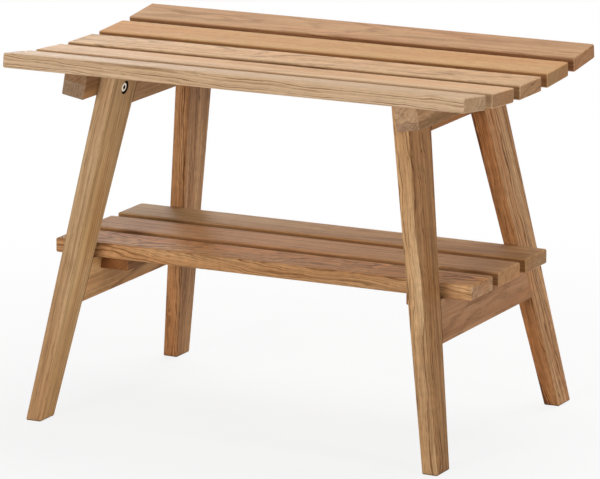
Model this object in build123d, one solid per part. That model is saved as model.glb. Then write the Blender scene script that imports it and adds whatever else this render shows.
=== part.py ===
from build123d import *
from math import atan, cos, degrees, radians, sin
import os

# A two-tier oak bench. Millimetres: X along the slats, Y from front to back, Z up.
# The origin is on the floor, under the middle of the bench. Right is +X, back is +Y.

# Seat and shelf slats
HEIGHT = 450.0
SEAT_LENGTH = 608.0
SHELF_LENGTH = 558.0
SLAT_WIDTH = 61.0
SLAT_GAP = 17.0
SLAT_THICK = 18.0
DISH_RADIUS = 1300.0
SHELF_TOP = 209.5

# Leg frames: two tapered legs and two rails in one plane that leans in toward its top
LEAN = radians(9.8)
FRAME_THICK = 20.0
FOOT_X = 276.0
FOOT_FRONT_Y = 192.0
FOOT_INNER_Y = 158.0
FRONT_SLOPE = 0.150
INNER_SLOPE = 0.221
LEG_TOP_FRONT = 423.0
LEG_TOP_INNER = 419.0
TOP_RAIL = (382.0, 415.5)
SHELF_RAIL_BOTTOM = 141.5

# Bars that the slats are screwed to
CROSSBAR_THICK = 30.0
CROSSBAR_HALF = 163.5
CROSSBAR_BOTTOM = 396.4
BATTEN_INNER_X = 187.0
BATTEN_HALF = 93.5
BATTEN_THICK = 17.5

# Rounded edges
SLAT_EASE = 2.5
FRAME_EASE = 1.8

# Fasteners
PLAY = 0.05
BOLT_Y = 98.5
BOLT_LEVEL = 406.0
BOLT_R = 3.0
BOLT_HEAD_R = 6.0
BOLT_HEAD_H = 4.5
BOLT_LENGTH = 30.0
BOLT_SOCKET = 5.0
BOLT_RECESS_R = 8.0
BOLT_RECESS_DEPTH = 5.5
NUT_R = 5.0
NUT_LENGTH = 15.0
SCREW_R = 2.0
SCREW_HEAD_R = 4.0
SCREW_HEAD_H = 2.4
SCREW_LENGTH = 30.0
SCREW_GRIP = 12.0
SCREW_TIP = 4.0
FIXING_LENGTH = 40.0
DOWEL_R = 4.0
DOWEL_LENGTH = 30.0
DOWEL_INSET = 9.0

# Distances of the slat screws from the middle of the bench, and of the screws through the shelf rails
SEAT_SCREW_Y = (14.0, 60.0, 86.0, 136.0, 153.0)
SHELF_SCREW_Y = (14.0, 60.0, 84.0)
FIXING_Y = 37.0
FIXING_LEVEL = 184.0
CROSSBAR_SCREW_N = 17.0
BATTEN_SCREW_X = 204.0

# Working places: the step in angle from slat to slat, and the lowest point of the seat's top
SLAT_STEP = 2 * atan(SLAT_WIDTH / 2 / DISH_RADIUS) + SLAT_GAP / DISH_RADIUS
SHELF_BOTTOM = SHELF_TOP - SLAT_THICK
BATTEN_BOTTOM = SHELF_BOTTOM - BATTEN_THICK

# The plane of the right leg frame: local x is Y, local y climbs the lean, local z points outward
FRAME = Plane(origin=(FOOT_X, 0, 0), x_dir=(0, 1, 0), z_dir=(cos(LEAN), 0, sin(LEAN)))


def slope_length(level):
    """Length up the leaning frame that reaches this height on its outer face."""
    return level / cos(LEAN)


def in_frame(y, level, outward):
    """Location on the right frame, its z axis pointing outward."""
    return FRAME.location * Pos(y, slope_length(level), outward)


def slat_middle(index):
    """Y, Z and tilt of the top of seat slat -2 (front) to 2 (back)."""
    tilt = index * SLAT_STEP
    edge_tilt = 2 * SLAT_STEP
    edge_rise = DISH_RADIUS - DISH_RADIUS * cos(edge_tilt) + SLAT_WIDTH / 2 * sin(edge_tilt)
    lowest = HEIGHT - edge_rise
    return DISH_RADIUS * sin(tilt), lowest + DISH_RADIUS - DISH_RADIUS * cos(tilt), tilt


def slat(length):
    """One slat, its top face at z = 0."""
    board = Pos(0, 0, -SLAT_THICK / 2) * Box(length, SLAT_WIDTH, SLAT_THICK)
    return fillet(board.edges(), SLAT_EASE)


def seat_slat(index):
    y, z, tilt = slat_middle(index)
    return Pos(0, y, z) * Rot(degrees(tilt), 0, 0) * slat(SEAT_LENGTH)


def shelf_slat(index):
    return Pos(0, index * (SLAT_WIDTH + SLAT_GAP), SHELF_TOP) * slat(SHELF_LENGTH)


def seat_underside():
    """Points (Y, Z) along the undersides of the seat slats, front to back."""
    points = []
    for index in range(-2, 3):
        y, z, tilt = slat_middle(index)
        for side in (-SLAT_WIDTH / 2, SLAT_WIDTH / 2):
            edge_y = y + side * cos(tilt) + SLAT_THICK * sin(tilt)
            edge_z = z + side * sin(tilt) - SLAT_THICK * cos(tilt)
            points.append((edge_y, edge_z))
    return points


def above_seat_underside():
    """Everything above the undersides of the seat slats, for cutting the crossbars to the dish."""
    points = seat_underside()
    roof = HEIGHT + 50
    outline = [(points[0][0], roof), *points, (points[-1][0], roof)]
    return extrude(Plane.YZ * make_face(Polyline(*outline, close=True)), amount=SEAT_LENGTH, both=True)


def frame_board(corners, inner, outer):
    """A board in the right frame's plane from (Y, level) corners, between two distances outward."""
    outline = [(y, slope_length(level)) for y, level in corners]
    face = make_face(Polyline(*outline, close=True))
    return extrude(FRAME.offset(inner) * face, amount=outer - inner)


def front_edge(level):
    """Y of the front edge of the front legs at this height."""
    return -(FOOT_FRONT_Y - FRONT_SLOPE * level)


def inner_edge(level):
    """Y of the edge of the front legs that faces the back legs."""
    return -(FOOT_INNER_Y - INNER_SLOPE * level)


def front_leg():
    """The front leg of the right frame."""
    below = -20.0
    corners = [
        (front_edge(below), below),
        (inner_edge(below), below),
        (inner_edge(LEG_TOP_INNER), LEG_TOP_INNER),
        (front_edge(LEG_TOP_FRONT), LEG_TOP_FRONT),
    ]
    board = frame_board(corners, -FRAME_THICK, 0)
    floor = Pos(FOOT_X, 0, -50) * Box(400, 600, 100)
    leg = fillet((board - floor).edges(), FRAME_EASE)
    return leg - bolt_room(-BOLT_Y) - dowel_rooms()


def rail(bottom, top):
    """A rail between the legs of the right frame, its ends cut to their inner edges."""
    corners = [
        (inner_edge(bottom), bottom),
        (-inner_edge(bottom), bottom),
        (-inner_edge(top), top),
        (inner_edge(top), top),
    ]
    return frame_board(corners, -FRAME_THICK, 0)


def top_rail():
    bar = rail(*TOP_RAIL)
    return fillet(bar.edges().filter_by(Axis.Y), FRAME_EASE) - dowel_rooms()


def shelf_rail():
    """The deep rail that the shelf slats lie on, so its top is cut level."""
    tall = rail(SHELF_RAIL_BOTTOM, SHELF_BOTTOM + 10)
    above = Pos(FOOT_X, 0, SHELF_BOTTOM + 50) * Box(400, 600, 100)
    bar = tall - above
    lower_edges = bar.edges().filter_by(Axis.Y).sort_by(Axis.Z)[:2]
    return fillet(lower_edges, FRAME_EASE) - dowel_rooms() - fixing_rooms()


def crossbar():
    """The bar outside the right frame, cut to the dish on top, that the seat slats are screwed to."""
    top = CROSSBAR_BOTTOM + 60
    corners = [
        (-CROSSBAR_HALF, CROSSBAR_BOTTOM),
        (CROSSBAR_HALF, CROSSBAR_BOTTOM),
        (CROSSBAR_HALF, top),
        (-CROSSBAR_HALF, top),
    ]
    bar = frame_board(corners, 0, CROSSBAR_THICK) - above_seat_underside()
    middle = (CROSSBAR_BOTTOM + HEIGHT - SLAT_THICK) / 2 + CROSSBAR_THICK * sin(LEAN) / 2
    outer_edges = [edge for edge in bar.edges() if edge.center().Z < middle]
    bar = fillet(outer_edges, FRAME_EASE)
    return bar - bolt_room(-BOLT_Y) - bolt_room(BOLT_Y) - crossbar_screw_rooms()


def shelf_batten():
    """The bar under the right end of the shelf, its outer side cut to the lean of the shelf rail."""
    def rail_inside(level):
        return FOOT_X - (level * sin(LEAN) + FRAME_THICK) / cos(LEAN)

    outline = [
        (BATTEN_INNER_X, BATTEN_BOTTOM),
        (rail_inside(BATTEN_BOTTOM), BATTEN_BOTTOM),
        (rail_inside(SHELF_BOTTOM), SHELF_BOTTOM),
        (BATTEN_INNER_X, SHELF_BOTTOM),
    ]
    bar = extrude(Plane.XZ * make_face(Polyline(*outline, close=True)), amount=BATTEN_HALF, both=True)
    lower_edges = [edge for edge in bar.edges() if edge.center().Z < SHELF_BOTTOM - 1]
    return fillet(lower_edges, FRAME_EASE) - batten_screw_rooms() - fixing_rooms()


def bolt():
    """Hex-socket bolt: its head's face at z = 0, its shank running along +z."""
    head = Pos(0, 0, BOLT_HEAD_H / 2) * Cylinder(BOLT_HEAD_R, BOLT_HEAD_H)
    head = chamfer(head.edges().sort_by(Axis.Z)[0], 0.8)
    shank = Pos(0, 0, BOLT_HEAD_H + BOLT_LENGTH / 2) * Cylinder(BOLT_R, BOLT_LENGTH)
    shank = chamfer(shank.edges().sort_by(Axis.Z)[-1], 0.6)
    socket = extrude(RegularPolygon(BOLT_SOCKET / 2, 6, major_radius=False), amount=BOLT_HEAD_H - 0.4)
    return head + shank - socket


def bolt_place(y):
    """Where a bolt sits in the right frame: head sunk in the leg's inner face, shank outward."""
    return in_frame(y, BOLT_LEVEL, -FRAME_THICK + BOLT_RECESS_DEPTH - BOLT_HEAD_H)


def bolt_room(y):
    """Recess and clearance hole in the leg, and the hole for the insert nut in the crossbar."""
    recess = in_frame(y, BOLT_LEVEL, -FRAME_THICK) * Cylinder(BOLT_RECESS_R, 2 * BOLT_RECESS_DEPTH)
    hole = in_frame(y, BOLT_LEVEL, -FRAME_THICK / 2) * Cylinder(BOLT_R + 0.25, 2 * FRAME_THICK)
    nut_depth = BOLT_LENGTH - FRAME_THICK + BOLT_RECESS_DEPTH + 2
    nut = in_frame(y, BOLT_LEVEL, nut_depth / 2) * Cylinder(NUT_R + PLAY, nut_depth)
    return recess + hole + nut


def insert_nut():
    """Plain sleeve in the crossbar that the bolt screws into, along +z."""
    sleeve = Pos(0, 0, NUT_LENGTH / 2) * Cylinder(NUT_R, NUT_LENGTH)
    sleeve = chamfer(sleeve.edges(), 0.6)
    return sleeve - Pos(0, 0, NUT_LENGTH / 2) * Cylinder(BOLT_R + PLAY, NUT_LENGTH)


def screw(length):
    """Countersunk wood screw: head's flat face at z = 0, tip at z = length."""
    head = Pos(0, 0, SCREW_HEAD_H / 2) * Cone(SCREW_HEAD_R, SCREW_R, SCREW_HEAD_H)
    body = length - SCREW_HEAD_H - SCREW_TIP
    shank = Pos(0, 0, SCREW_HEAD_H + body / 2) * Cylinder(SCREW_R, body)
    tip = Pos(0, 0, length - SCREW_TIP / 2) * Cone(SCREW_R, 0.4, SCREW_TIP)
    cross = Box(4.4, 0.9, 2.4) + Box(0.9, 4.4, 2.4)
    return head + shank + tip - cross


def screw_room(length):
    """The hole that a screw leaves: a pilot bore, a cone and an open pocket behind the head."""
    pilot = Pos(0, 0, length / 2) * Cylinder(SCREW_R + PLAY, length + 1)
    cone = Pos(0, 0, SCREW_HEAD_H / 2) * Cone(SCREW_HEAD_R + PLAY, SCREW_R + PLAY, SCREW_HEAD_H)
    pocket = Pos(0, 0, -10) * Cylinder(SCREW_HEAD_R + PLAY, 20)
    return pilot + cone + pocket


def seat_height_below(y):
    """Height of the slats' undersides at this Y, between the corners of the slat above it."""
    points = seat_underside()
    for (y0, z0), (y1, z1) in zip(points, points[1:]):
        if y0 <= y <= y1:
            return z0 + (z1 - z0) * (y - y0) / (y1 - y0)
    raise ValueError("no slat above this place")


def crossbar_screw_places():
    """The seat screws of the right crossbar: driven up along the lean until they grip the slat."""
    places = []
    for y in [sign * y for y in SEAT_SCREW_Y for sign in (-1, 1)]:
        level = seat_height_below(y) - CROSSBAR_SCREW_N * sin(LEAN)
        head = level - (SCREW_LENGTH - SCREW_GRIP) * cos(LEAN)
        places.append(in_frame(y, head, CROSSBAR_SCREW_N) * Rot(-90, 0, 0))
    return places


def batten_screw_places():
    """The shelf screws of the right batten: driven straight up into the slats."""
    head = SHELF_BOTTOM + SCREW_GRIP - SCREW_LENGTH
    return [Pos(BATTEN_SCREW_X, sign * y, head) for y in SHELF_SCREW_Y for sign in (-1, 1)]


def fixing_places():
    """The screws that hold the shelf: from the shelf rail's outer face into the batten."""
    return [in_frame(sign * FIXING_Y, FIXING_LEVEL, -0.5) * Rot(180, 0, 0) for sign in (-1, 1)]


def dowel_places():
    """Two dowels in each joint between a rail and a leg, at both ends of both rails."""
    places = []
    for bottom, top in (TOP_RAIL, (SHELF_RAIL_BOTTOM, SHELF_BOTTOM)):
        for level in (bottom + DOWEL_INSET, top - DOWEL_INSET):
            for sign in (-1, 1):
                places.append(in_frame(-sign * inner_edge(level), level, -FRAME_THICK / 2) * Rot(0, 90, 0))
    return places


def dowel():
    peg = Cylinder(DOWEL_R, DOWEL_LENGTH)
    return chamfer(peg.edges(), 0.8)


def group(shapes):
    """Several separate solids as one node."""
    return Compound(children=list(shapes))


def dowel_rooms():
    return group(place * Cylinder(DOWEL_R + PLAY, DOWEL_LENGTH + 2) for place in dowel_places())


def crossbar_screw_rooms():
    return group(place * screw_room(SCREW_LENGTH) for place in crossbar_screw_places())


def batten_screw_rooms():
    return group(place * screw_room(SCREW_LENGTH) for place in batten_screw_places())


def fixing_rooms():
    return group(place * screw_room(FIXING_LENGTH) for place in fixing_places())


def to_left(shape):
    return mirror(shape, about=Plane.YZ)


def to_back(shape):
    return mirror(shape, about=Plane.XZ)


def both_sides(places, piece):
    """A piece at each place of the right side, and mirrored on the left."""
    right = [place * piece for place in places]
    return group(right + [to_left(shape) for shape in right])


def build_nodes():
    nodes = {}
    seat_names = ("front", "mid_front", "centre", "mid_back", "back")
    screw_rooms = crossbar_screw_rooms()
    for index, name in zip(range(-2, 3), seat_names):
        board = seat_slat(index) - screw_rooms - to_left(screw_rooms)
        nodes[f"seat_slat_{name}"] = board
    shelf_names = ("front", "centre", "back")
    screw_rooms = batten_screw_rooms()
    for index, name in zip(range(-1, 2), shelf_names):
        board = shelf_slat(index) - screw_rooms - to_left(screw_rooms)
        nodes[f"shelf_slat_{name}"] = board

    leg = front_leg()
    bars = {"top_rail": top_rail(), "shelf_rail": shelf_rail(), "seat_crossbar": crossbar()}
    bars["shelf_batten"] = shelf_batten()
    nodes["leg_front_right"] = leg
    nodes["leg_back_right"] = to_back(leg)
    nodes["leg_front_left"] = to_left(leg)
    nodes["leg_back_left"] = to_left(to_back(leg))
    for name, bar in bars.items():
        nodes[f"{name}_right"] = bar
        nodes[f"{name}_left"] = to_left(bar)

    bolt_places = [bolt_place(-BOLT_Y), bolt_place(BOLT_Y)]
    nut_places = [in_frame(y, BOLT_LEVEL, 0.5) for y in (-BOLT_Y, BOLT_Y)]
    nodes["frame_bolts"] = both_sides(bolt_places, bolt())
    nodes["insert_nuts"] = both_sides(nut_places, insert_nut())
    nodes["seat_slat_screws"] = both_sides(crossbar_screw_places(), screw(SCREW_LENGTH))
    nodes["shelf_slat_screws"] = both_sides(batten_screw_places(), screw(SCREW_LENGTH))
    nodes["shelf_fixing_screws"] = both_sides(fixing_places(), screw(FIXING_LENGTH))
    nodes["frame_dowels"] = both_sides(dowel_places(), dowel())
    return nodes


os.makedirs("parts", exist_ok=True)
for node_name, node_shape in build_nodes().items():
    export_step(node_shape, f"parts/{node_name}.step")
    print(node_name, len(node_shape.solids()), "solids")
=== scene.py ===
# %% [markdown]
# A two-tier oak bench: a dished seat of five slats on two leaning side frames, with a slatted shelf.
# Every piece of it is a solid board or a fastener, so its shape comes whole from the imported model.
# What is left to make here is the wood: each board gets its own stretch of oak, cut from the log
# in its own way, with its own tone. Then come the fasteners, the studio and the camera.

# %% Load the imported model
import math

import bpy
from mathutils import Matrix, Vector


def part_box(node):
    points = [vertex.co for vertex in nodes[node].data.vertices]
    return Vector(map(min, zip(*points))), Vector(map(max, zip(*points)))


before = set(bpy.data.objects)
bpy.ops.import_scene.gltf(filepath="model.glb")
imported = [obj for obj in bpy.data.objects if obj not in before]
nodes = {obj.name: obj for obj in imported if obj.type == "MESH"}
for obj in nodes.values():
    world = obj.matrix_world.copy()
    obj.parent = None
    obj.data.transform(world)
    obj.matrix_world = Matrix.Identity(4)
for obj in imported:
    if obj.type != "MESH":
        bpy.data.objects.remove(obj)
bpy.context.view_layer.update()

# %% [markdown]
# Shader trees are long to write by hand. A small helper that adds a node, sets it, and joins sockets
# or numbers to its inputs keeps each effect below down to the few lines that say what it does.

# %% A helper that wires shader nodes


class Wires:
    """Adds nodes to one tree. Inputs are sockets or plain values."""

    def __init__(self, tree):
        self.tree = tree

    def join(self, socket, value):
        """Puts a socket or a plain value into an input."""
        if isinstance(value, bpy.types.NodeSocket):
            self.tree.links.new(value, socket)
        elif value is not None:
            socket.default_value = value

    def add(self, kind, inputs=None, **settings):
        """A node of this kind with its settings, and its inputs by name or number."""
        made = self.tree.nodes.new(kind)
        for name, value in settings.items():
            setattr(made, name, value)
        for name, value in (inputs or {}).items():
            self.join(made.inputs[name], value)
        return made

    def calc(self, operation, a, b=None, c=None):
        """One sum of the Math node."""
        made = self.add("ShaderNodeMath", {0: a, 1: b, 2: c}, operation=operation)
        return made.outputs[0]

    def vector(self, operation, a, b=None):
        """One sum of the Vector Math node that gives a vector."""
        return self.add("ShaderNodeVectorMath", {0: a, 1: b}, operation=operation).outputs["Vector"]

    def dot(self, a, b):
        """How far a reaches along the direction b."""
        return self.add("ShaderNodeVectorMath", {0: a, 1: b}, operation="DOT_PRODUCT").outputs["Value"]

    def tint(self, color, factor):
        """A colour made lighter or darker by a factor."""
        made = self.add("ShaderNodeVectorMath", {0: color, "Scale": factor}, operation="SCALE")
        return made.outputs["Vector"]

    def blend(self, factor, a, b):
        """Colour a where the factor is 0, and b where it is 1."""
        return self.add("ShaderNodeMix", {0: factor, 6: a, 7: b}, data_type="RGBA").outputs[2]

    def xyz(self, x, y, z):
        return self.add("ShaderNodeCombineXYZ", {0: x, 1: y, 2: z}).outputs[0]

    def split(self, vector):
        return self.add("ShaderNodeSeparateXYZ", {0: vector}).outputs

    def noise(self, vector, detail=2.0, roughness=0.5):
        """Noise with features one unit large."""
        inputs = {"Vector": vector, "Scale": 1.0, "Detail": detail, "Roughness": roughness}
        return self.add("ShaderNodeTexNoise", inputs)

    def noise_along(self, value, detail=1.0):
        """Noise along one number."""
        inputs = {"W": value, "Scale": 1.0, "Detail": detail}
        return self.add("ShaderNodeTexNoise", inputs, noise_dimensions="1D").outputs[0]

    def span(self, value, low, high, to_low=0.0, to_high=1.0):
        """The value between low and high, moved smoothly to another span."""
        inputs = {"Value": value, "From Min": low, "From Max": high, "To Min": to_low, "To Max": to_high}
        return self.add("ShaderNodeMapRange", inputs, interpolation_type="SMOOTHSTEP").outputs[0]


def new_group(name, inputs, outputs):
    """An empty shader group with these sockets, and its input and output nodes."""
    tree = bpy.data.node_groups.new(name, "ShaderNodeTree")
    for label, kind in inputs:
        tree.interface.new_socket(label, in_out="INPUT", socket_type=f"NodeSocket{kind}")
    for label, kind in outputs:
        tree.interface.new_socket(label, in_out="OUTPUT", socket_type=f"NodeSocket{kind}")
    wires = Wires(tree)
    return wires, wires.add("NodeGroupInput").outputs, wires.add("NodeGroupOutput").inputs


def srgb(red, green, blue):
    """A colour as a picture shows it, 0 to 255, in the linear light that shaders use."""
    shown = (value / 255 for value in (red, green, blue))
    return tuple(((v + 0.055) / 1.055) ** 2.4 if v > 0.04 else v / 12.92 for v in shown) + (1.0,)


print("white is", srgb(255, 255, 255))

# %% [markdown]
# Oak isn't a pattern laid on a board, it is a solid: year rings round the heart of the tree, which every
# face of the board cuts in its own way. A picture or a flat wave texture would show the same lines on
# top, edge and end. So the grain is worked out in three dimensions here, in one shader node group that
# every board uses with its own values. First come the group's sockets and the sizes of its features.
# Wood has long fibres, so each feature is many times longer along the grain than across it.

# %% The sockets of the oak group, and the sizes of its features

OAK_INPUTS = [
    ("Centre", "Vector"),
    ("Grain axis", "Vector"),
    ("Width axis", "Vector"),
    ("Seed", "Float"),
    ("Ring width", "Float"),
    ("Heart across", "Float"),
    ("Heart below", "Float"),
    ("Taper", "Float"),
    ("Wander", "Float"),
    ("Wave", "Float"),
    ("Line strength", "Float"),
    ("Streak strength", "Float"),
    ("Curl strength", "Float"),
    ("Fleck strength", "Float"),
    ("Pale", "Color"),
    ("Dark", "Color"),
    ("Warm", "Color"),
    ("End tint", "Color"),
]
SURFACE_OUTPUTS = [("Color", "Color"), ("Roughness", "Float"), ("Height", "Float")]

# How many fit in a metre, along the grain and across it
DRIFTS = (3.0, 9.0)
BROAD_WAVES = (11.0, 38.0)
FINE_WAVES = (38.0, 150.0)
BREAKS = (13.0, 120.0)
STREAKS = (3.2, 150.0)
DASHES = (20.0, 520.0)
FIBRES = (9.0, 420.0)
PORES = (95.0, 1300.0)
BENDS = (9.0, 30.0)
WARM_PATCHES = (2.2, 20.0)
CLOUDS = (1.6, 8.0)

# Features with a size of their own in each direction, and how far a unit of seed moves the noise
CURLS_PER_METRE = (105.0, 34.0, 34.0)
RAYS_PER_UNIT = (42.0, 260.0, 95.0)
SEED_SHIFT = (7.31, 3.17, 5.73)
print("oak sockets:", len(OAK_INPUTS), "in,", len(SURFACE_OUTPUTS), "out")

# %% [markdown]
# Each feature needs a point's place in its board: how far along the grain, across the width and into the
# depth. A small class works that out once, and gives noise that is stretched along the grain.

# %% A point's place in its board


class Spot:
    """Where a point lies in its board, and noise stretched along the grain there."""

    def __init__(self, wires, given, place):
        seed = given["Seed"]
        point = wires.vector("SUBTRACT", place, given["Centre"])
        depth_axis = wires.vector("CROSS_PRODUCT", given["Grain axis"], given["Width axis"])
        self.wires = wires
        self.along = wires.dot(point, given["Grain axis"])
        self.across = wires.dot(point, given["Width axis"])
        self.depth = wires.dot(point, depth_axis)
        self.local = wires.xyz(self.along, self.across, self.depth)
        self.seed_offset = wires.vector("MULTIPLY", wires.xyz(seed, seed, seed), SEED_SHIFT)

    def stretched(self, feature):
        """The point in units of this feature, long along the grain and short across it."""
        along, across = feature
        scaled = self.wires.vector("MULTIPLY", self.local, (along, across, across))
        return self.wires.vector("ADD", scaled, self.seed_offset)

    def swing(self, feature, detail=2.0, roughness=0.5):
        """Noise about zero, in units of this feature."""
        noise = self.wires.noise(self.stretched(feature), detail, roughness)
        return self.wires.calc("SUBTRACT", noise.outputs[0], 0.5)


print("features per metre along the grain, from", CLOUDS[0], "to", PORES[0])

# %% [markdown]
# The distance from the heart gives the year ring. The heart lies somewhere outside the board and drifts
# along it, and a tree tapers, which together draw the long pointed arches of flat-sawn faces. Small
# waves keep the lines from running dead straight.

# %% The way from the heart of the tree

FINE_WAVE_SHARE = 0.3


def way_from_heart(w, given, spot):
    """The way across and into the depth, its length, and the radius with its taper and waves."""
    drift = w.split(w.noise(spot.stretched(DRIFTS)).outputs[1])
    drift_across = w.calc("MULTIPLY", w.calc("SUBTRACT", drift[0], 0.5), given["Wander"])
    drift_depth = w.calc("MULTIPLY", w.calc("SUBTRACT", drift[1], 0.5), given["Wander"])
    way_across = w.calc("SUBTRACT", w.calc("ADD", spot.across, drift_across), given["Heart across"])
    way_deep = w.calc("ADD", w.calc("ADD", spot.depth, drift_depth), given["Heart below"])
    squares = w.calc("ADD", w.calc("POWER", way_across, 2.0), w.calc("POWER", way_deep, 2.0))
    distance = w.calc("SQRT", squares)
    fine_waves = w.calc("MULTIPLY", spot.swing(FINE_WAVES), FINE_WAVE_SHARE)
    waves = w.calc("ADD", spot.swing(BROAD_WAVES), fine_waves)
    slant = w.calc("MULTIPLY", spot.along, given["Taper"])
    ripple = w.calc("MULTIPLY", waves, given["Wave"])
    radius = w.calc("ADD", w.calc("ADD", distance, slant), ripple)
    return way_across, way_deep, distance, radius


print("a board's heart is set by:", ", ".join(name for name, _ in OAK_INPUTS[5:10]))

# %% [markdown]
# Each ring starts with a dark, porous band and fades into pale wood. No two years are alike, so noise
# makes the rings uneven in width, and white noise of the ring's number makes some bands much weaker.

# %% The year rings

RING_FADES = (0.02, 0.5)
RING_DARKENS = (0.8, 1.0)
CHANGE_BY_YEAR = 0.43
UNEVENNESS = 2.2
WEAKEST_YEAR = 0.25
BROKEN_LINE = 0.45
FULL_LINE = 1.25


def year_rings(w, given, spot, radius):
    """The dark lines with their strengths, and the bands without them, where the pores crowd."""
    even = w.calc("DIVIDE", radius, given["Ring width"])
    place_of_year = w.calc("ADD", w.calc("MULTIPLY", even, CHANGE_BY_YEAR), given["Seed"])
    ring = w.calc("ADD", even, w.calc("MULTIPLY", w.noise_along(place_of_year), UNEVENNESS))
    part = w.calc("FRACT", ring)
    number = w.calc("FLOOR", ring)
    rise = w.span(part, *RING_DARKENS)
    fall = w.span(part, *RING_FADES, 1.0, 0.0)

    def strength_of(year):
        """Each ring has its own darkness."""
        toss = {"W": w.calc("ADD", year, given["Seed"])}
        chance = w.add("ShaderNodeTexWhiteNoise", toss, noise_dimensions="1D").outputs[0]
        return w.span(chance, 0.0, 1.0, WEAKEST_YEAR, 1.0)

    falling = w.calc("MULTIPLY", fall, strength_of(number))
    rising = w.calc("MULTIPLY", rise, strength_of(w.calc("ADD", number, 1.0)))
    broken = w.span(spot.swing(BREAKS, 3.0, 0.6), -0.16, 0.12, BROKEN_LINE, FULL_LINE)
    strength = w.calc("MULTIPLY", broken, given["Line strength"])
    line = w.calc("MULTIPLY", w.calc("MAXIMUM", falling, rising), strength)
    return line, w.calc("MAXIMUM", rise, fall)


print("parts of a ring where it fades and darkens:", RING_FADES, RING_DARKENS)

# %% [markdown]
# Two finer things make oak look like oak. Where the fibres wind, waves of light and shade cross the
# grain. And thin sheets, the rays, stand out from the heart and flash as pale flecks where a face cuts
# along them, so their noise is laid out by angle and distance about the heart.

# %% Curl and rays

BEND_REACH = 9.0
RAY_EDGE = (0.6, 0.7)


def curl_of(w, spot):
    """Waves of light and shade across the grain, about zero."""
    bend = w.calc("MULTIPLY", spot.swing(BENDS), BEND_REACH)
    place = w.vector("MULTIPLY", spot.local, CURLS_PER_METRE)
    place = w.vector("ADD", w.vector("ADD", place, w.xyz(bend, bend, 0.0)), spot.seed_offset)
    return w.calc("SUBTRACT", w.noise(place, 1.0).outputs[0], 0.5)


def ray_flecks(w, spot, way_across, way_deep, distance):
    """1 on the rays, 0 between them."""
    turn = w.calc("ARCTAN2", way_deep, way_across)
    sheet = w.vector("MULTIPLY", w.xyz(spot.along, turn, distance), RAYS_PER_UNIT)
    return w.span(w.noise(w.vector("ADD", sheet, spot.seed_offset), 1.0).outputs[0], *RAY_EDGE)


print("curls per metre along the grain:", CURLS_PER_METRE[0])

# %% [markdown]
# The group puts it all together, from large to small: pale wood with warm patches, long streaks, the
# dark lines with short dashes, then the shade of fibres, clouds and curl, and last the open pores and
# flecks. Sawn ends drink more oil, so they are darker and browner. The same features give the roughness
# and the height that each material feeds to its bump.

# %% The oak group

OAK_ROUGHNESS = 0.58
FACES_END = (0.75, 0.95)
PORES_BETWEEN = 0.25

# How strongly each feature shows in the colour, then in the roughness and in the height
STREAK_DARKNESS = 0.55
DASH_STRENGTH = 0.8
FIBRE_SHADE = 0.42
CLOUD_SHADE = 0.3
PORE_STRENGTH = 0.5
PORE_TINT = 0.45
FLECK_TINT = 1.1
PORE_ROUGH = 0.16
FIBRE_ROUGH = 0.18
FLECK_SMOOTH = 0.06
FIBRE_HIGH = 0.35
PORE_DEEP = 0.8
LINE_DEEP = 0.25


def oak_color(w, given, spot, line, pores, fleck, fibre):
    """The colour of the wood before its ends are darkened."""
    color = w.blend(w.span(spot.swing(WARM_PATCHES), -0.12, 0.16), given["Pale"], given["Warm"])
    streak = w.span(spot.swing(STREAKS, 3.0, 0.6), -0.12, 0.2)
    streak = w.calc("MULTIPLY", streak, given["Streak strength"])
    color = w.blend(streak, color, w.blend(STREAK_DARKNESS, given["Warm"], given["Dark"]))
    dash = w.calc("MULTIPLY", w.span(spot.swing(DASHES), 0.08, 0.2), DASH_STRENGTH)
    dark_marks = w.calc("MAXIMUM", line, w.calc("MULTIPLY", dash, given["Streak strength"]))
    color = w.blend(w.calc("MINIMUM", dark_marks, 1.0), color, given["Dark"])
    shade = w.calc("ADD", 1.0, w.calc("MULTIPLY", fibre, FIBRE_SHADE))
    shade = w.calc("ADD", shade, w.calc("MULTIPLY", spot.swing(CLOUDS, 1.0), CLOUD_SHADE))
    shade = w.calc("ADD", shade, w.calc("MULTIPLY", curl_of(w, spot), given["Curl strength"]))
    open_pores = w.calc("MULTIPLY", pores, PORE_STRENGTH)
    color = w.blend(open_pores, w.tint(color, shade), w.tint(given["Dark"], PORE_TINT))
    flash = w.calc("MULTIPLY", fleck, given["Fleck strength"])
    return w.blend(flash, color, w.tint(given["Pale"], FLECK_TINT))


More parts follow.
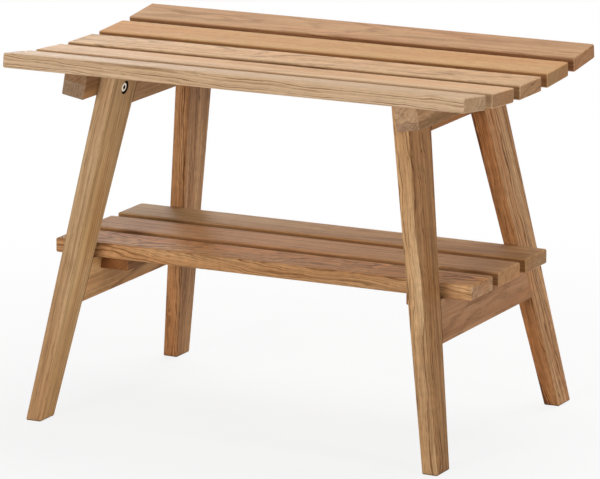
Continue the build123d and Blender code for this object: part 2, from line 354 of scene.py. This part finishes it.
def build_oak_group():
    """The node group that gives a board its colour, roughness and height."""
    w, given, out = new_group("oak_grain", OAK_INPUTS, SURFACE_OUTPUTS)
    place = w.add("ShaderNodeTexCoord").outputs
    spot = Spot(w, given, place["Object"])
    way_across, way_deep, distance, radius = way_from_heart(w, given, spot)
    line, band = year_rings(w, given, spot, radius)
    fleck = ray_flecks(w, spot, way_across, way_deep, distance)
    fibre = spot.swing(FIBRES, 3.0, 0.65)
    crowding = w.calc("ADD", w.calc("MULTIPLY", band, 1 - PORES_BETWEEN), PORES_BETWEEN)
    pores = w.calc("MULTIPLY", w.span(spot.swing(PORES, 1.0), 0.08, 0.22), crowding)

    color = oak_color(w, given, spot, line, pores, fleck, fibre)
    facing_along = w.calc("ABSOLUTE", w.dot(place["Normal"], given["Grain axis"]))
    sawn_end = w.span(facing_along, *FACES_END)
    w.join(out["Color"], w.blend(sawn_end, color, w.vector("MULTIPLY", color, given["End tint"])))

    rough = w.calc("ADD", w.calc("MULTIPLY", pores, PORE_ROUGH), w.calc("MULTIPLY", fibre, FIBRE_ROUGH))
    smooth_rays = w.calc("SUBTRACT", OAK_ROUGHNESS, w.calc("MULTIPLY", fleck, FLECK_SMOOTH))
    w.join(out["Roughness"], w.calc("ADD", rough, smooth_rays))
    relief = w.calc("SUBTRACT", w.calc("MULTIPLY", fibre, FIBRE_HIGH), w.calc("MULTIPLY", pores, PORE_DEEP))
    w.join(out["Height"], w.calc("SUBTRACT", relief, w.calc("MULTIPLY", line, LINE_DEEP)))
    return w.tree


OAK = build_oak_group()
print("oak group:", len(OAK.nodes), "nodes")

# %% [markdown]
# Two boards from one tree rarely look alike. A flat-sawn board lies away from the heart and shows arches
# and broad bands on its face but tight lines on its edge. A rift board is cut at a slant and shows
# straight lines all round. A quarter-sawn board stands out from the heart and has fine lines and flecks.
# So a cut is a place of the heart, in metres from the board's middle, how much the rings taper, and how
# far the heart wanders and the rings wave. Curl and flecks go with the cut too.

# %% How the boards are sawn

CUTS = {
    "flat": {"Heart across": 0.004, "Heart below": 0.16, "Taper": 0.016, "Wander": 0.011, "Wave": 0.004},
    "arched": {"Heart across": 0.002, "Heart below": 0.07, "Taper": 0.03, "Wander": 0.02, "Wave": 0.006},
    "curly": {"Heart across": 0.02, "Heart below": 0.09, "Taper": 0.035, "Wander": 0.05, "Wave": 0.013},
    "wild": {"Heart across": 0.01, "Heart below": 0.05, "Taper": 0.05, "Wander": 0.05, "Wave": 0.014},
    "rift": {"Heart across": 0.12, "Heart below": 0.11, "Taper": 0.01, "Wander": 0.012, "Wave": 0.005},
    "wavy": {"Heart across": 0.09, "Heart below": 0.07, "Taper": 0.02, "Wander": 0.03, "Wave": 0.016},
    "quarter": {"Heart across": 0.17, "Heart below": 0.01, "Taper": 0.006, "Wander": 0.006, "Wave": 0.003},
}
CURLS = {"curly": 0.3, "wild": 0.5, "wavy": 0.4}
FLECKS = {"quarter": 0.4, "rift": 0.15}
PLAIN_CURL = 0.12
PLAIN_FLECK = 0.1
print("cuts:", ", ".join(CUTS))

# %% [markdown]
# Oiled oak runs from pale straw over tan and honey to fox brown and grey umber. Each tone has three
# colours: the pale wood, the dark bands, and the warm patches in between. How much darker the sawn ends
# are differs from board to board too, so a tone can have its own tint for them.

# %% The tones of the wood

END_TINT = (0.76, 0.65, 0.54, 1.0)
END_TINTS = {
    "straw": (0.79, 0.74, 0.68, 1.0),
    "cream": (0.56, 0.48, 0.40, 1.0),
    "tan": (0.65, 0.56, 0.47, 1.0),
    "peach": (0.62, 0.61, 0.58, 1.0),
    "chestnut": (0.80, 0.81, 0.93, 1.0),
    "honey": (0.66, 0.62, 0.60, 1.0),
    "russet": (0.95, 1.0, 1.05, 1.0),
    "ash": (0.95, 0.95, 0.92, 1.0),
    "smoke": (0.9, 0.93, 0.95, 1.0),
}
TONES = {
    "straw": (srgb(224, 192, 158), srgb(146, 108, 70), srgb(215, 180, 142)),
    "cream": (srgb(222, 184, 144), srgb(156, 116, 76), srgb(217, 169, 124)),
    "tan": (srgb(221, 184, 142), srgb(132, 92, 58), srgb(214, 170, 128)),
    "peach": (srgb(209, 164, 115), srgb(164, 112, 66), srgb(206, 152, 102)),
    "blush": (srgb(203, 162, 122), srgb(138, 96, 58), srgb(202, 150, 112)),
    "honey": (srgb(206, 168, 122), srgb(136, 94, 56), srgb(200, 152, 104)),
    "walnut": (srgb(218, 174, 128), srgb(128, 86, 52), srgb(210, 158, 112)),
    "amber": (srgb(219, 182, 138), srgb(130, 90, 54), srgb(203, 158, 110)),
    "chestnut": (srgb(220, 174, 124), srgb(128, 82, 44), srgb(208, 152, 100)),
    "russet": (srgb(180, 142, 110), srgb(108, 74, 46), srgb(162, 118, 84)),
    "fox": (srgb(184, 137, 92), srgb(104, 62, 30), srgb(172, 114, 68)),
    "brown": (srgb(207, 159, 111), srgb(106, 66, 36), srgb(186, 128, 80)),
    "cocoa": (srgb(166, 118, 74), srgb(104, 64, 34), srgb(156, 104, 60)),
    "sand": (srgb(200, 164, 122), srgb(131, 91, 55), srgb(192, 147, 102)),
    "umber": (srgb(172, 142, 112), srgb(112, 82, 56), srgb(162, 128, 96)),
    "ash": (srgb(206, 173, 138), srgb(138, 106, 76), srgb(192, 156, 122)),
    "smoke": (srgb(170, 140, 112), srgb(112, 84, 62), srgb(158, 124, 94)),
}
print("tones:", ", ".join(TONES))

# %% [markdown]
# A board's material holds the oak group, a Principled shader and a bump; the shader stays outside the
# group. The group can't hold the shader, or the export couldn't read it. Oil leaves only a weak sheen, so
# the specular level is low, and the bump is a fraction of a millimetre, which is enough for light from
# the side to catch the grain.

# %% The material of a board

GRAIN_RELIEF = 0.0004
GRAIN_BUMP = 0.35
OIL_SHEEN = 0.12


def oak_node(wires, cut, tone, seed, ring_mm, line, streak, centre, grain, width):
    """The oak group in a material, set for one board."""
    pale, dark, warm = TONES[tone]
    values = {
        "Centre": centre,
        "Grain axis": grain,
        "Width axis": width,
        "Seed": seed,
        "Ring width": ring_mm / 1000,
        "Line strength": line,
        "Streak strength": streak,
        "Curl strength": CURLS.get(cut, PLAIN_CURL),
        "Fleck strength": FLECKS.get(cut, PLAIN_FLECK),
        "Pale": pale,
        "Dark": dark,
        "Warm": warm,
        "End tint": END_TINTS.get(tone, END_TINT),
        **CUTS[cut],
    }
    made = wires.add("ShaderNodeGroup", node_tree=OAK)
    for name, value in values.items():
        made.inputs[name].default_value = value
    return made.outputs


def new_material(name):
    """A material with an empty tree but for its shader and output."""
    material = bpy.data.materials.new(name)
    material.use_nodes = True
    material.node_tree.nodes.clear()
    wires = Wires(material.node_tree)
    shader = wires.add("ShaderNodeBsdfPrincipled")
    wires.add("ShaderNodeOutputMaterial", {"Surface": shader.outputs[0]})
    return material, wires, shader.inputs


def oak_finish(wires, shader, color, roughness, height):
    """Oiled oak: a soft sheen over grain that can be felt."""
    wires.join(shader["Base Color"], color)
    wires.join(shader["Roughness"], roughness)
    relief = {"Height": height, "Strength": GRAIN_BUMP, "Distance": GRAIN_RELIEF}
    wires.join(shader["Normal"], wires.add("ShaderNodeBump", relief).outputs[0])
    shader["Specular IOR Level"].default_value = OIL_SHEEN


def oak_board(name, makings, centre, grain, width, marks=None):
    """A material for one board, from its cut, tone, seed, ring width, lines and streaks."""
    material, wires, shader = new_material(f"oak_{name}")
    grained = oak_node(wires, *makings, centre, grain, width)
    color = marks(wires, grained["Color"]) if marks else grained["Color"]
    oak_finish(wires, shader, color, grained["Roughness"], grained["Height"])
    return material


def dress(name, material):
    """Gives a node of the model its only material."""
    slots = nodes[name].data.materials
    slots.clear()
    slots.append(material)


def middle_of(name):
    """The middle of a node's box."""
    low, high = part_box(name)
    return (low + high) / 2


print("nodes to dress:", len(nodes))

# %% [markdown]
# The slats run from left to right, so their grain runs along X. The seat slats tilt with the dish, and
# their width axis tilts with them, or the rings would cut the edges at a slant. Where a slat's side
# faces a gap, shade is painted on it: it is coloured darker than the rest, where the gap is in shade.
# The painted shade asks which way the surface faces, so it follows the slat however it is tilted, and
# stays off the rounded edges. The tops of the shelf slats get painted light and shade, a tint for how
# the light falls on them. Each slat is given by its steps of tilt and its makings: cut, tone, seed, ring
# width in millimetres, and the strengths of its lines and streaks.

# %% The slats of the seat and the shelf

SLAT_TILT = 0.06
SLATS = {
    "seat_slat_front": (-2, ("rift", "straw", 3.1, 1.6, 1.2, 0.4)),
    "seat_slat_mid_front": (-1, ("flat", "cream", 12.4, 3.2, 0.35, 0.4)),
    "seat_slat_centre": (0, ("curly", "tan", 27.9, 3.8, 0.5, 0.15)),
    "seat_slat_mid_back": (1, ("quarter", "peach", 31.6, 2.6, 0.25, 0.3)),
    "seat_slat_back": (2, ("arched", "blush", 44.2, 3.4, 0.45, 0.45)),
    "shelf_slat_front": (0, ("wild", "chestnut", 52.7, 3.0, 0.85, 0.5)),
    "shelf_slat_centre": (0, ("rift", "walnut", 63.3, 3.4, 0.4, 0.5)),
    "shelf_slat_back": (0, ("flat", "honey", 71.8, 2.6, 0.5, 0.5)),
}
# Painted shade for the sides of the slats that face a gap
PAINTED_GAP_SHADE = (0.66, 0.56, 0.46)
FACES_GAP = (0.84, 0.99)
FACES_UP = (0.7, 0.9)
# The side of these slats that gets no painted shade: -1 is toward the front, 1 toward the back
UNSHADED_SIDES = {
    "seat_slat_front": -1,
    "seat_slat_mid_front": -1,
    "seat_slat_back": 1,
    "shelf_slat_front": -1,
    "shelf_slat_back": 1,
}
# Painted light and shade on the shelf slats' tops, for how the light falls on them
PAINTED_TOP_LIGHT = {
    "shelf_slat_front": (1.22, 1.15, 0.98),
    "shelf_slat_centre": (1.12, 1.06, 0.98),
    "shelf_slat_back": (0.95, 0.95, 0.96),
}


def slat_sides(name, across_slat):
    """Painted shade darkens the sides that face a gap, and painted light and shade tint the shelf's tops.
    """
    def marks(wires, color):
        normal = wires.add("ShaderNodeTexCoord").outputs["Normal"]
        if name in PAINTED_TOP_LIGHT:
            facing_up = wires.span(wires.split(normal)[2], *FACES_UP)
            color = wires.blend(facing_up, color, wires.vector("MULTIPLY", color, PAINTED_TOP_LIGHT[name]))
        toward_back = wires.dot(normal, across_slat)
        if name in UNSHADED_SIDES:
            toward_gap = wires.calc("MULTIPLY", toward_back, -UNSHADED_SIDES[name])
        else:
            toward_gap = wires.calc("ABSOLUTE", toward_back)
        shaded = wires.vector("MULTIPLY", color, PAINTED_GAP_SHADE)
        return wires.blend(wires.span(toward_gap, *FACES_GAP), color, shaded)
    return marks


for name, (steps, makings) in SLATS.items():
    tilt = steps * SLAT_TILT
    across_slat = (0, math.cos(tilt), math.sin(tilt))
    marks = slat_sides(name, across_slat)
    dress(name, oak_board(name, makings, middle_of(name), (1, 0, 0), across_slat, marks))
print("slats dressed:", len(SLATS))

# %% [markdown]
# Each side frame leans in toward its top, so its own directions aren't the world's. Two helpers give the
# way up a frame's lean and the way out of its face. The bolts lie along the second one. Anything round a
# bolt is found by its distance from the bolt's axis, which needs no texture coordinates of its own.

# %% Directions in the side frames

LEAN = math.radians(9.8)
LEG_SPLAY = 0.1855
FOOT_X = 0.276
BOLT_Y = 0.0985
BOLT_LEVEL = 0.406
SOFT_EDGE = 0.0003
SIDES = {"left": -1, "right": 1}
ENDS = {"front": -1, "back": 1}


def up_the_lean(side):
    return Vector((-side * math.sin(LEAN), 0, math.cos(LEAN)))


def out_of_frame(side):
    return Vector((side * math.cos(LEAN), 0, math.sin(LEAN)))


def point_on_face(side, end, level):
    """Where a side frame's outer face is at this level, in line with a bolt, or midway for end 0."""
    return Vector((side * (FOOT_X - level * math.tan(LEAN)), end * BOLT_Y, level))


def near_bolt(wires, place, side, end, radius):
    """1 within this distance of a bolt's axis, 0 outside."""
    arm = wires.vector("SUBTRACT", place, point_on_face(side, end, BOLT_LEVEL))
    away = wires.vector("CROSS_PRODUCT", arm, out_of_frame(side))
    distance = wires.add("ShaderNodeVectorMath", {0: away}, operation="LENGTH").outputs["Value"]
    return wires.span(distance, radius - SOFT_EDGE, radius + SOFT_EDGE, 1.0, 0.0)


print("a bolt's axis crosses the face at", point_on_face(1, 1, BOLT_LEVEL))

# %% [markdown]
# In the photograph the right-hand face of many of these pieces has a tone that the grain and the lamps
# alone don't give. So a piece can have a tint for the face that looks right, found by comparing it
# with the photograph. The tint is partly the wood's own tone and partly painted light and shade, for
# light that the lamps here give those faces too much or too little. The crossbars' tints go by strip,
# because each bar has two.

# %% Tints for the faces that look right: tone and painted light and shade

FACES_RIGHT = (0.6, 0.9)
# Partly the wood's tone and partly painted light and shade on the faces that look right
RIGHT_FACE_TONE_AND_LIGHT = {
    "leg_front_left": (1.29, 1.36, 1.28),
    "leg_front_right": (0.71, 0.6, 0.49),
    "leg_back_left": (0.98, 1.04, 1.1),
    "leg_back_right": (1.36, 1.6, 1.93),
    "shelf_rail_left": (1.26, 1.2, 1.05),
    "shelf_rail_right": (1.15, 1.09, 1.0),
    "upper left strip": (0.95, 0.8, 0.68),
    "lower left strip": (1.4, 1.28, 0.98),
    "upper right strip": (0.99, 0.96, 0.86),
    "lower right strip": (0.72, 0.7, 0.55),
}


def right_face_tone_and_light(name):
    """The marks function that tints the face of a piece that looks right, with tone and painted light and
    shade.
    """
    def marks(wires, color):
        if name not in RIGHT_FACE_TONE_AND_LIGHT:
            return color
        normal = wires.add("ShaderNodeTexCoord").outputs["Normal"]
        to_right = wires.span(wires.split(normal)[0], *FACES_RIGHT)
        return wires.blend(to_right, color, wires.vector("MULTIPLY", color, RIGHT_FACE_TONE_AND_LIGHT[name]))
    return marks


print("faces with a tint:", len(RIGHT_FACE_TONE_AND_LIGHT))

# %% [markdown]
# A leg's grain runs up the leg, which leans two ways at once: inward with its side frame, and toward the
# middle of that frame. Its foot is darker in a thin rim at the bottom.
# The recess round its bolt head is in deep shade, and is painted dark out to just past its wall.

# %% The legs

RECESS_RADIUS = 0.0084
RECESS_DARK = (0.012, 0.008, 0.005, 1.0)
FOOT_DARKENING_HEIGHT = 0.003
FOOT_DARKENING = (0.3, 0.27, 0.26)
LEGS = {
    "leg_front_left": ("rift", "sand", 80.3, 3.6, 0.5, 0.7),
    "leg_front_right": ("wavy", "amber", 95.1, 2.4, 0.9, 0.85),
    "leg_back_left": ("wavy", "brown", 101.9, 2.8, 0.8, 0.7),
    "leg_back_right": ("wavy", "fox", 118.6, 3.2, 1.4, 0.8),
}


def leg_marks(name, side, end):
    """The tint of a leg's right face, partly painted light and shade, the darker rim of its foot, and its
    bolt recess.
    """
    def marks(wires, color):
        color = right_face_tone_and_light(name)(wires, color)
        place = wires.add("ShaderNodeTexCoord").outputs["Object"]
        at_foot = wires.span(wires.split(place)[2], 0.0, FOOT_DARKENING_HEIGHT, 1.0, 0.0)
        color = wires.blend(at_foot, color, wires.vector("MULTIPLY", color, FOOT_DARKENING))
        return wires.blend(near_bolt(wires, place, side, end, RECESS_RADIUS), color, RECESS_DARK)
    return marks


for name, makings in LEGS.items():
    _, end, side = name.split("_")
    side, end = SIDES[side], ENDS[end]
    grain = Vector((-side * math.tan(LEAN), -end * LEG_SPLAY, 1)).normalized()
    across_leg = grain.cross(up_the_lean(side).cross(Vector((0, 1, 0)))).normalized()
    marks = leg_marks(name, side, end)
    dress(name, oak_board(name, makings, middle_of(name), grain, across_leg, marks))
print("legs dressed:", len(LEGS))

# %% [markdown]
# The rails and battens run from front to back, and their width lies up the lean of their side frame.

# %% The rails and battens

FRONT_TO_BACK = (0, 1, 0)
BARS = {
    "top_rail_left": ("rift", "honey", 131.2, 3.0, 0.4, 0.4),
    "top_rail_right": ("rift", "cocoa", 142.5, 3.0, 0.5, 0.4),
    "shelf_rail_left": ("flat", "honey", 153.4, 3.0, 0.8, 0.8),
    "shelf_rail_right": ("flat", "russet", 166.8, 3.2, 0.5, 0.5),
    "shelf_batten_left": ("rift", "cocoa", 177.1, 3.0, 0.5, 0.4),
    "shelf_batten_right": ("rift", "fox", 188.9, 3.0, 0.5, 0.4),
}
for name, makings in BARS.items():
    width = up_the_lean(SIDES[name.rsplit("_", 1)[1]])
    dress(name, oak_board(name, makings, middle_of(name), FRONT_TO_BACK, width, right_face_tone_and_light(name)))
print("rails and battens dressed:", len(BARS))

# %% [markdown]
# Each crossbar is glued up from two strips of oak, which the photograph shows as a change of tone at a
# straight line on the bar's end. On the left bar the darker upper strip is partly painted shadow of the
# seat slats above it. One material holds both strips and changes over at the glue line, where a hair of
# dark glue shows.

# %% The crossbars, glued from two strips

CROSSBAR_THICK = 0.030
GLUE_LINE = (0.0001, 0.0006)
GLUE_SHOWS = 0.35
GLUE_COLOR = TONES["umber"][1]
STRIPS = {
    # The left bar's upper strip is darker partly as painted shadow of the seat above it
    "seat_crossbar_left": {
        "upper": ("rift", "umber", 201.7, 2.6, 0.5, 0.5),
        "lower": ("flat", "smoke", 214.2, 3.0, 0.6, 0.6),
        "glued at": 0.415,
    },
    "seat_crossbar_right": {
        "upper": ("wavy", "ash", 223.6, 3.0, 0.7, 0.6),
        "lower": ("wavy", "russet", 238.3, 2.6, 0.6, 0.5),
        "glued at": 0.406,
    },
}


def glued_bar(name, strips):
    """A crossbar's material: its two strips, and the glue between them."""
    side_name = name.rsplit("_", 1)[1]
    side = SIDES[side_name]
    up = up_the_lean(side)
    glue_point = point_on_face(side, 0, strips["glued at"]) + out_of_frame(side) * CROSSBAR_THICK / 2
    material, wires, shader = new_material(f"oak_{name}")
    colors = []
    # The upper strip comes last, and its roughness and height serve for the whole bar
    for level in ("lower", "upper"):
        strip = oak_node(wires, *strips[level], glue_point, FRONT_TO_BACK, up)
        colors.append(right_face_tone_and_light(f"{level} {side_name} strip")(wires, strip["Color"]))
    place = wires.add("ShaderNodeTexCoord").outputs["Object"]
    height = wires.dot(wires.vector("SUBTRACT", place, glue_point), up)
    color = wires.blend(wires.span(height, -SOFT_EDGE, SOFT_EDGE), *colors)
    glue = wires.span(wires.calc("ABSOLUTE", height), *GLUE_LINE, GLUE_SHOWS, 0.0)
    color = wires.blend(glue, color, GLUE_COLOR)
    oak_finish(wires, shader, color, strip["Roughness"], strip["Height"])
    return material


for name, strips in STRIPS.items():
    dress(name, glued_bar(name, strips))
print("crossbars dressed:", len(STRIPS))

# %% [markdown]
# The fasteners are plated steel and brass, and plating is never quite even. Soft stains a few millimetres
# across and fine scratches break up the shine. One group gives both, with each metal's own values.

# %% The worn metal group

METAL_INPUTS = [("Metal", "Color"), ("Stain", "Color"), ("Patch size", "Float"), ("Dullness", "Float")]
SCRATCHES_PER_METRE = (2600.0, 2600.0, 350.0)
PATCH_SIZE = 0.004
STAIN_STRENGTH = 0.5
STAIN_ROUGH = 0.2
SCRATCH_ROUGH = 0.3


def build_metal_group():
    """The node group that gives a metal its colour, roughness and height."""
    w, given, out = new_group("worn_metal", METAL_INPUTS, SURFACE_OUTPUTS)
    place = w.add("ShaderNodeTexCoord").outputs["Object"]
    patches = w.noise(w.tint(place, w.calc("DIVIDE", 1.0, given["Patch size"])), 3.0).outputs[0]
    scratches = w.noise(w.vector("MULTIPLY", place, SCRATCHES_PER_METRE)).outputs[0]
    stained = w.calc("MULTIPLY", w.span(patches, 0.45, 0.75), STAIN_STRENGTH)
    w.join(out["Color"], w.blend(stained, given["Metal"], given["Stain"]))
    uneven = w.calc("MULTIPLY", w.calc("SUBTRACT", scratches, 0.5), SCRATCH_ROUGH)
    rough = w.calc("ADD", given["Dullness"], uneven)
    w.join(out["Roughness"], w.calc("ADD", rough, w.calc("MULTIPLY", stained, STAIN_ROUGH)))
    w.join(out["Height"], scratches)
    return w.tree


METAL = build_metal_group()
print("metal group:", len(METAL.nodes), "nodes")

# %% [markdown]
# The hexagon socket of a bolt head is a deep hole in shade. The four bolts mirror each other in both
# planes, so the absolute value of the place folds them onto one, and one axis is enough to find it.

# %% Metals, and the dowels' beech

SOCKET_RADIUS = 0.0029
SCRATCH_DEPTH = 0.0001
SCRATCH_BUMP = 0.15


def metal(name, color, stain, dullness, marks=None):
    """A plated or plain metal, from its two colours and its roughness."""
    material, wires, shader = new_material(name)
    made = wires.add("ShaderNodeGroup", node_tree=METAL)
    values = {"Metal": color, "Stain": stain, "Patch size": PATCH_SIZE, "Dullness": dullness}
    for label, value in values.items():
        made.inputs[label].default_value = value
    color = marks(wires, made.outputs["Color"]) if marks else made.outputs["Color"]
    wires.join(shader["Base Color"], color)
    wires.join(shader["Roughness"], made.outputs["Roughness"])
    relief = {"Height": made.outputs["Height"], "Strength": SCRATCH_BUMP, "Distance": SCRATCH_DEPTH}
    wires.join(shader["Normal"], wires.add("ShaderNodeBump", relief).outputs[0])
    shader["Metallic"].default_value = 1.0
    return material


def dark_socket(wires, color):
    """Shade in each bolt's hexagon socket."""
    place = wires.add("ShaderNodeTexCoord").outputs["Object"]
    folded = wires.vector("ABSOLUTE", place)
    return wires.blend(near_bolt(wires, folded, 1, 1, SOCKET_RADIUS), color, RECESS_DARK)


dress("frame_bolts", metal("bolt_steel", srgb(246, 234, 214), srgb(206, 190, 166), 0.42, dark_socket))
screw_steel = metal("screw_steel", srgb(104, 98, 90), srgb(76, 70, 62), 0.6)
for name in ("seat_slat_screws", "shelf_slat_screws", "shelf_fixing_screws"):
    dress(name, screw_steel)
dress("insert_nuts", metal("insert_brass", srgb(206, 176, 108), srgb(160, 124, 66), 0.35))
BEECH = ("quarter", "cream", 251.3, 2.0, 0.2, 0.2)
dress("frame_dowels", oak_board("dowel_beech", BEECH, (0, 0, 0), FRONT_TO_BACK, (1, 0, 0)))
print("fasteners dressed:", len(nodes) - len(SLATS) - len(LEGS) - len(BARS) - len(STRIPS))

# %% [markdown]
# A product photograph of this kind has a white ground and large soft lamps. The floor is a real surface
# that catches the bench's shadow, and part of it glows for the camera and for reflections alone, so that
# it reads as white without throwing more light on the bench. The glow grows with the distance from the
# bench, so that the floor meets the white world without a line.

# %% The floor

FLOOR_SIZE = 60.0
FLOOR_DROP = 0.0005
FLOOR_PALE = (0.8, 0.8, 0.8, 1)
FLOOR_GLOW = 0.86
GLOW_GROWS = (0.35, 1.1)
WHITE = (1, 1, 1, 1)

half = FLOOR_SIZE / 2
corners = [(-half, -half, 0), (half, -half, 0), (half, half, 0), (-half, half, 0)]
floor_mesh = bpy.data.meshes.new("studio_floor")
floor_mesh.from_pydata(corners, [], [(0, 1, 2, 3)])
floor = bpy.data.objects.new("studio_floor", floor_mesh)
bpy.context.scene.collection.objects.link(floor)
floor.location.z = -FLOOR_DROP

paper = bpy.data.materials.new("studio_paper")
paper.use_nodes = True
paper.node_tree.nodes.clear()
w = Wires(paper.node_tree)
lit = w.add("ShaderNodeBsdfDiffuse", {"Color": FLOOR_PALE}).outputs[0]
glow = w.add("ShaderNodeEmission", {"Color": WHITE, "Strength": 1.0}).outputs[0]
place = w.add("ShaderNodeTexCoord").outputs["Object"]
from_middle = w.add("ShaderNodeVectorMath", {0: place}, operation="LENGTH").outputs["Value"]
whiteness = w.span(from_middle, *GLOW_GROWS, FLOOR_GLOW, 1.0)
seen = w.add("ShaderNodeLightPath").outputs
looked_at = w.calc("MAXIMUM", seen["Is Camera Ray"], seen["Is Glossy Ray"])
mixing = {0: w.calc("MULTIPLY", looked_at, whiteness), 1: lit, 2: glow}
w.add("ShaderNodeOutputMaterial", {"Surface": w.add("ShaderNodeMixShader", mixing).outputs[0]})
floor_mesh.materials.append(paper)
print("floor:", FLOOR_SIZE, "m across")

# %% [markdown]
# The world does as the floor does: it is white where the camera or a reflection looks at it, and a weak
# even light for everything else, so that the shaded sides aren't black.

# %% The world

WORLD_LIGHT = 0.12

world = bpy.data.worlds.new("studio")
bpy.context.scene.world = world
world.use_nodes = True
world.node_tree.nodes.clear()
w = Wires(world.node_tree)
seen = w.add("ShaderNodeLightPath").outputs
looked_at = w.calc("MAXIMUM", seen["Is Camera Ray"], seen["Is Glossy Ray"])
looked_at = w.calc("MAXIMUM", looked_at, seen["Is Transmission Ray"])
strength = w.span(looked_at, 0.0, 1.0, WORLD_LIGHT, 1.0)
sky = w.add("ShaderNodeBackground", {"Color": WHITE, "Strength": strength}).outputs[0]
w.add("ShaderNodeOutputWorld", {"Surface": sky})
print("world light:", WORLD_LIGHT)

# %% [markdown]
# In the photograph the tops are palest, the fronts a little darker, and the right-hand faces clearly
# darker. Four soft round lamps give that: one overhead and slightly behind, a low one in front, a weaker
# one at the right that keeps those faces readable, and one at the back for the other views.

# %% The lamps

BENCH_MIDDLE = Vector((0, 0, 0.3))
LAMPS = {
    "overhead": {"place": (0.1, 0.9, 2.7), "size": 1.6, "watts": 47},
    "front": {"place": (-0.8, -4.2, 0.95), "size": 1.4, "watts": 90},
    "right": {"place": (4.2, -0.9, 0.8), "size": 1.4, "watts": 62},
    "back": {"place": (-2.8, 3.4, 1.0), "size": 1.6, "watts": 40},
}
for name, lamp in LAMPS.items():
    light = bpy.data.lights.new(name, "AREA")
    light.shape = "DISK"
    light.size = lamp["size"]
    light.energy = lamp["watts"]
    stand = bpy.data.objects.new(name, light)
    bpy.context.scene.collection.objects.link(stand)
    stand.location = lamp["place"]
    toward = BENCH_MIDDLE - Vector(lamp["place"])
    stand.rotation_euler = toward.to_track_quat("-Z", "Y").to_euler()
    print(f"{name}: {lamp['watts']} W, {toward.length:.2f} m away")

# %% [markdown]
# The camera was found by matching the bench's corners and edges in the photograph to their places in
# the model. It stands far off with a long lens, turned to the left and tilted down.

# %% The camera

PHOTO_WIDTH = 600
FOCAL_PIXELS = 4783.6
SENSOR_WIDTH = 36.0
FARTHEST = 100.0
CAMERA_PLACE = (2.5499, -5.0358, 1.5323)
CAMERA_YAW = 0.46875
CAMERA_DIP = 0.22944

camera_data = bpy.data.cameras.new("photo_camera")
camera_data.sensor_fit = "HORIZONTAL"
camera_data.sensor_width = SENSOR_WIDTH
camera_data.lens = FOCAL_PIXELS / PHOTO_WIDTH * SENSOR_WIDTH
camera_data.clip_end = FARTHEST
camera = bpy.data.objects.new("photo_camera", camera_data)
bpy.context.scene.collection.objects.link(camera)
camera.location = CAMERA_PLACE
camera.rotation_euler = (math.pi / 2 - CAMERA_DIP, 0, CAMERA_YAW)
bpy.context.scene.camera = camera
bpy.context.scene.view_settings.view_transform = "Standard"
print(f"lens {camera_data.lens:.1f} mm")
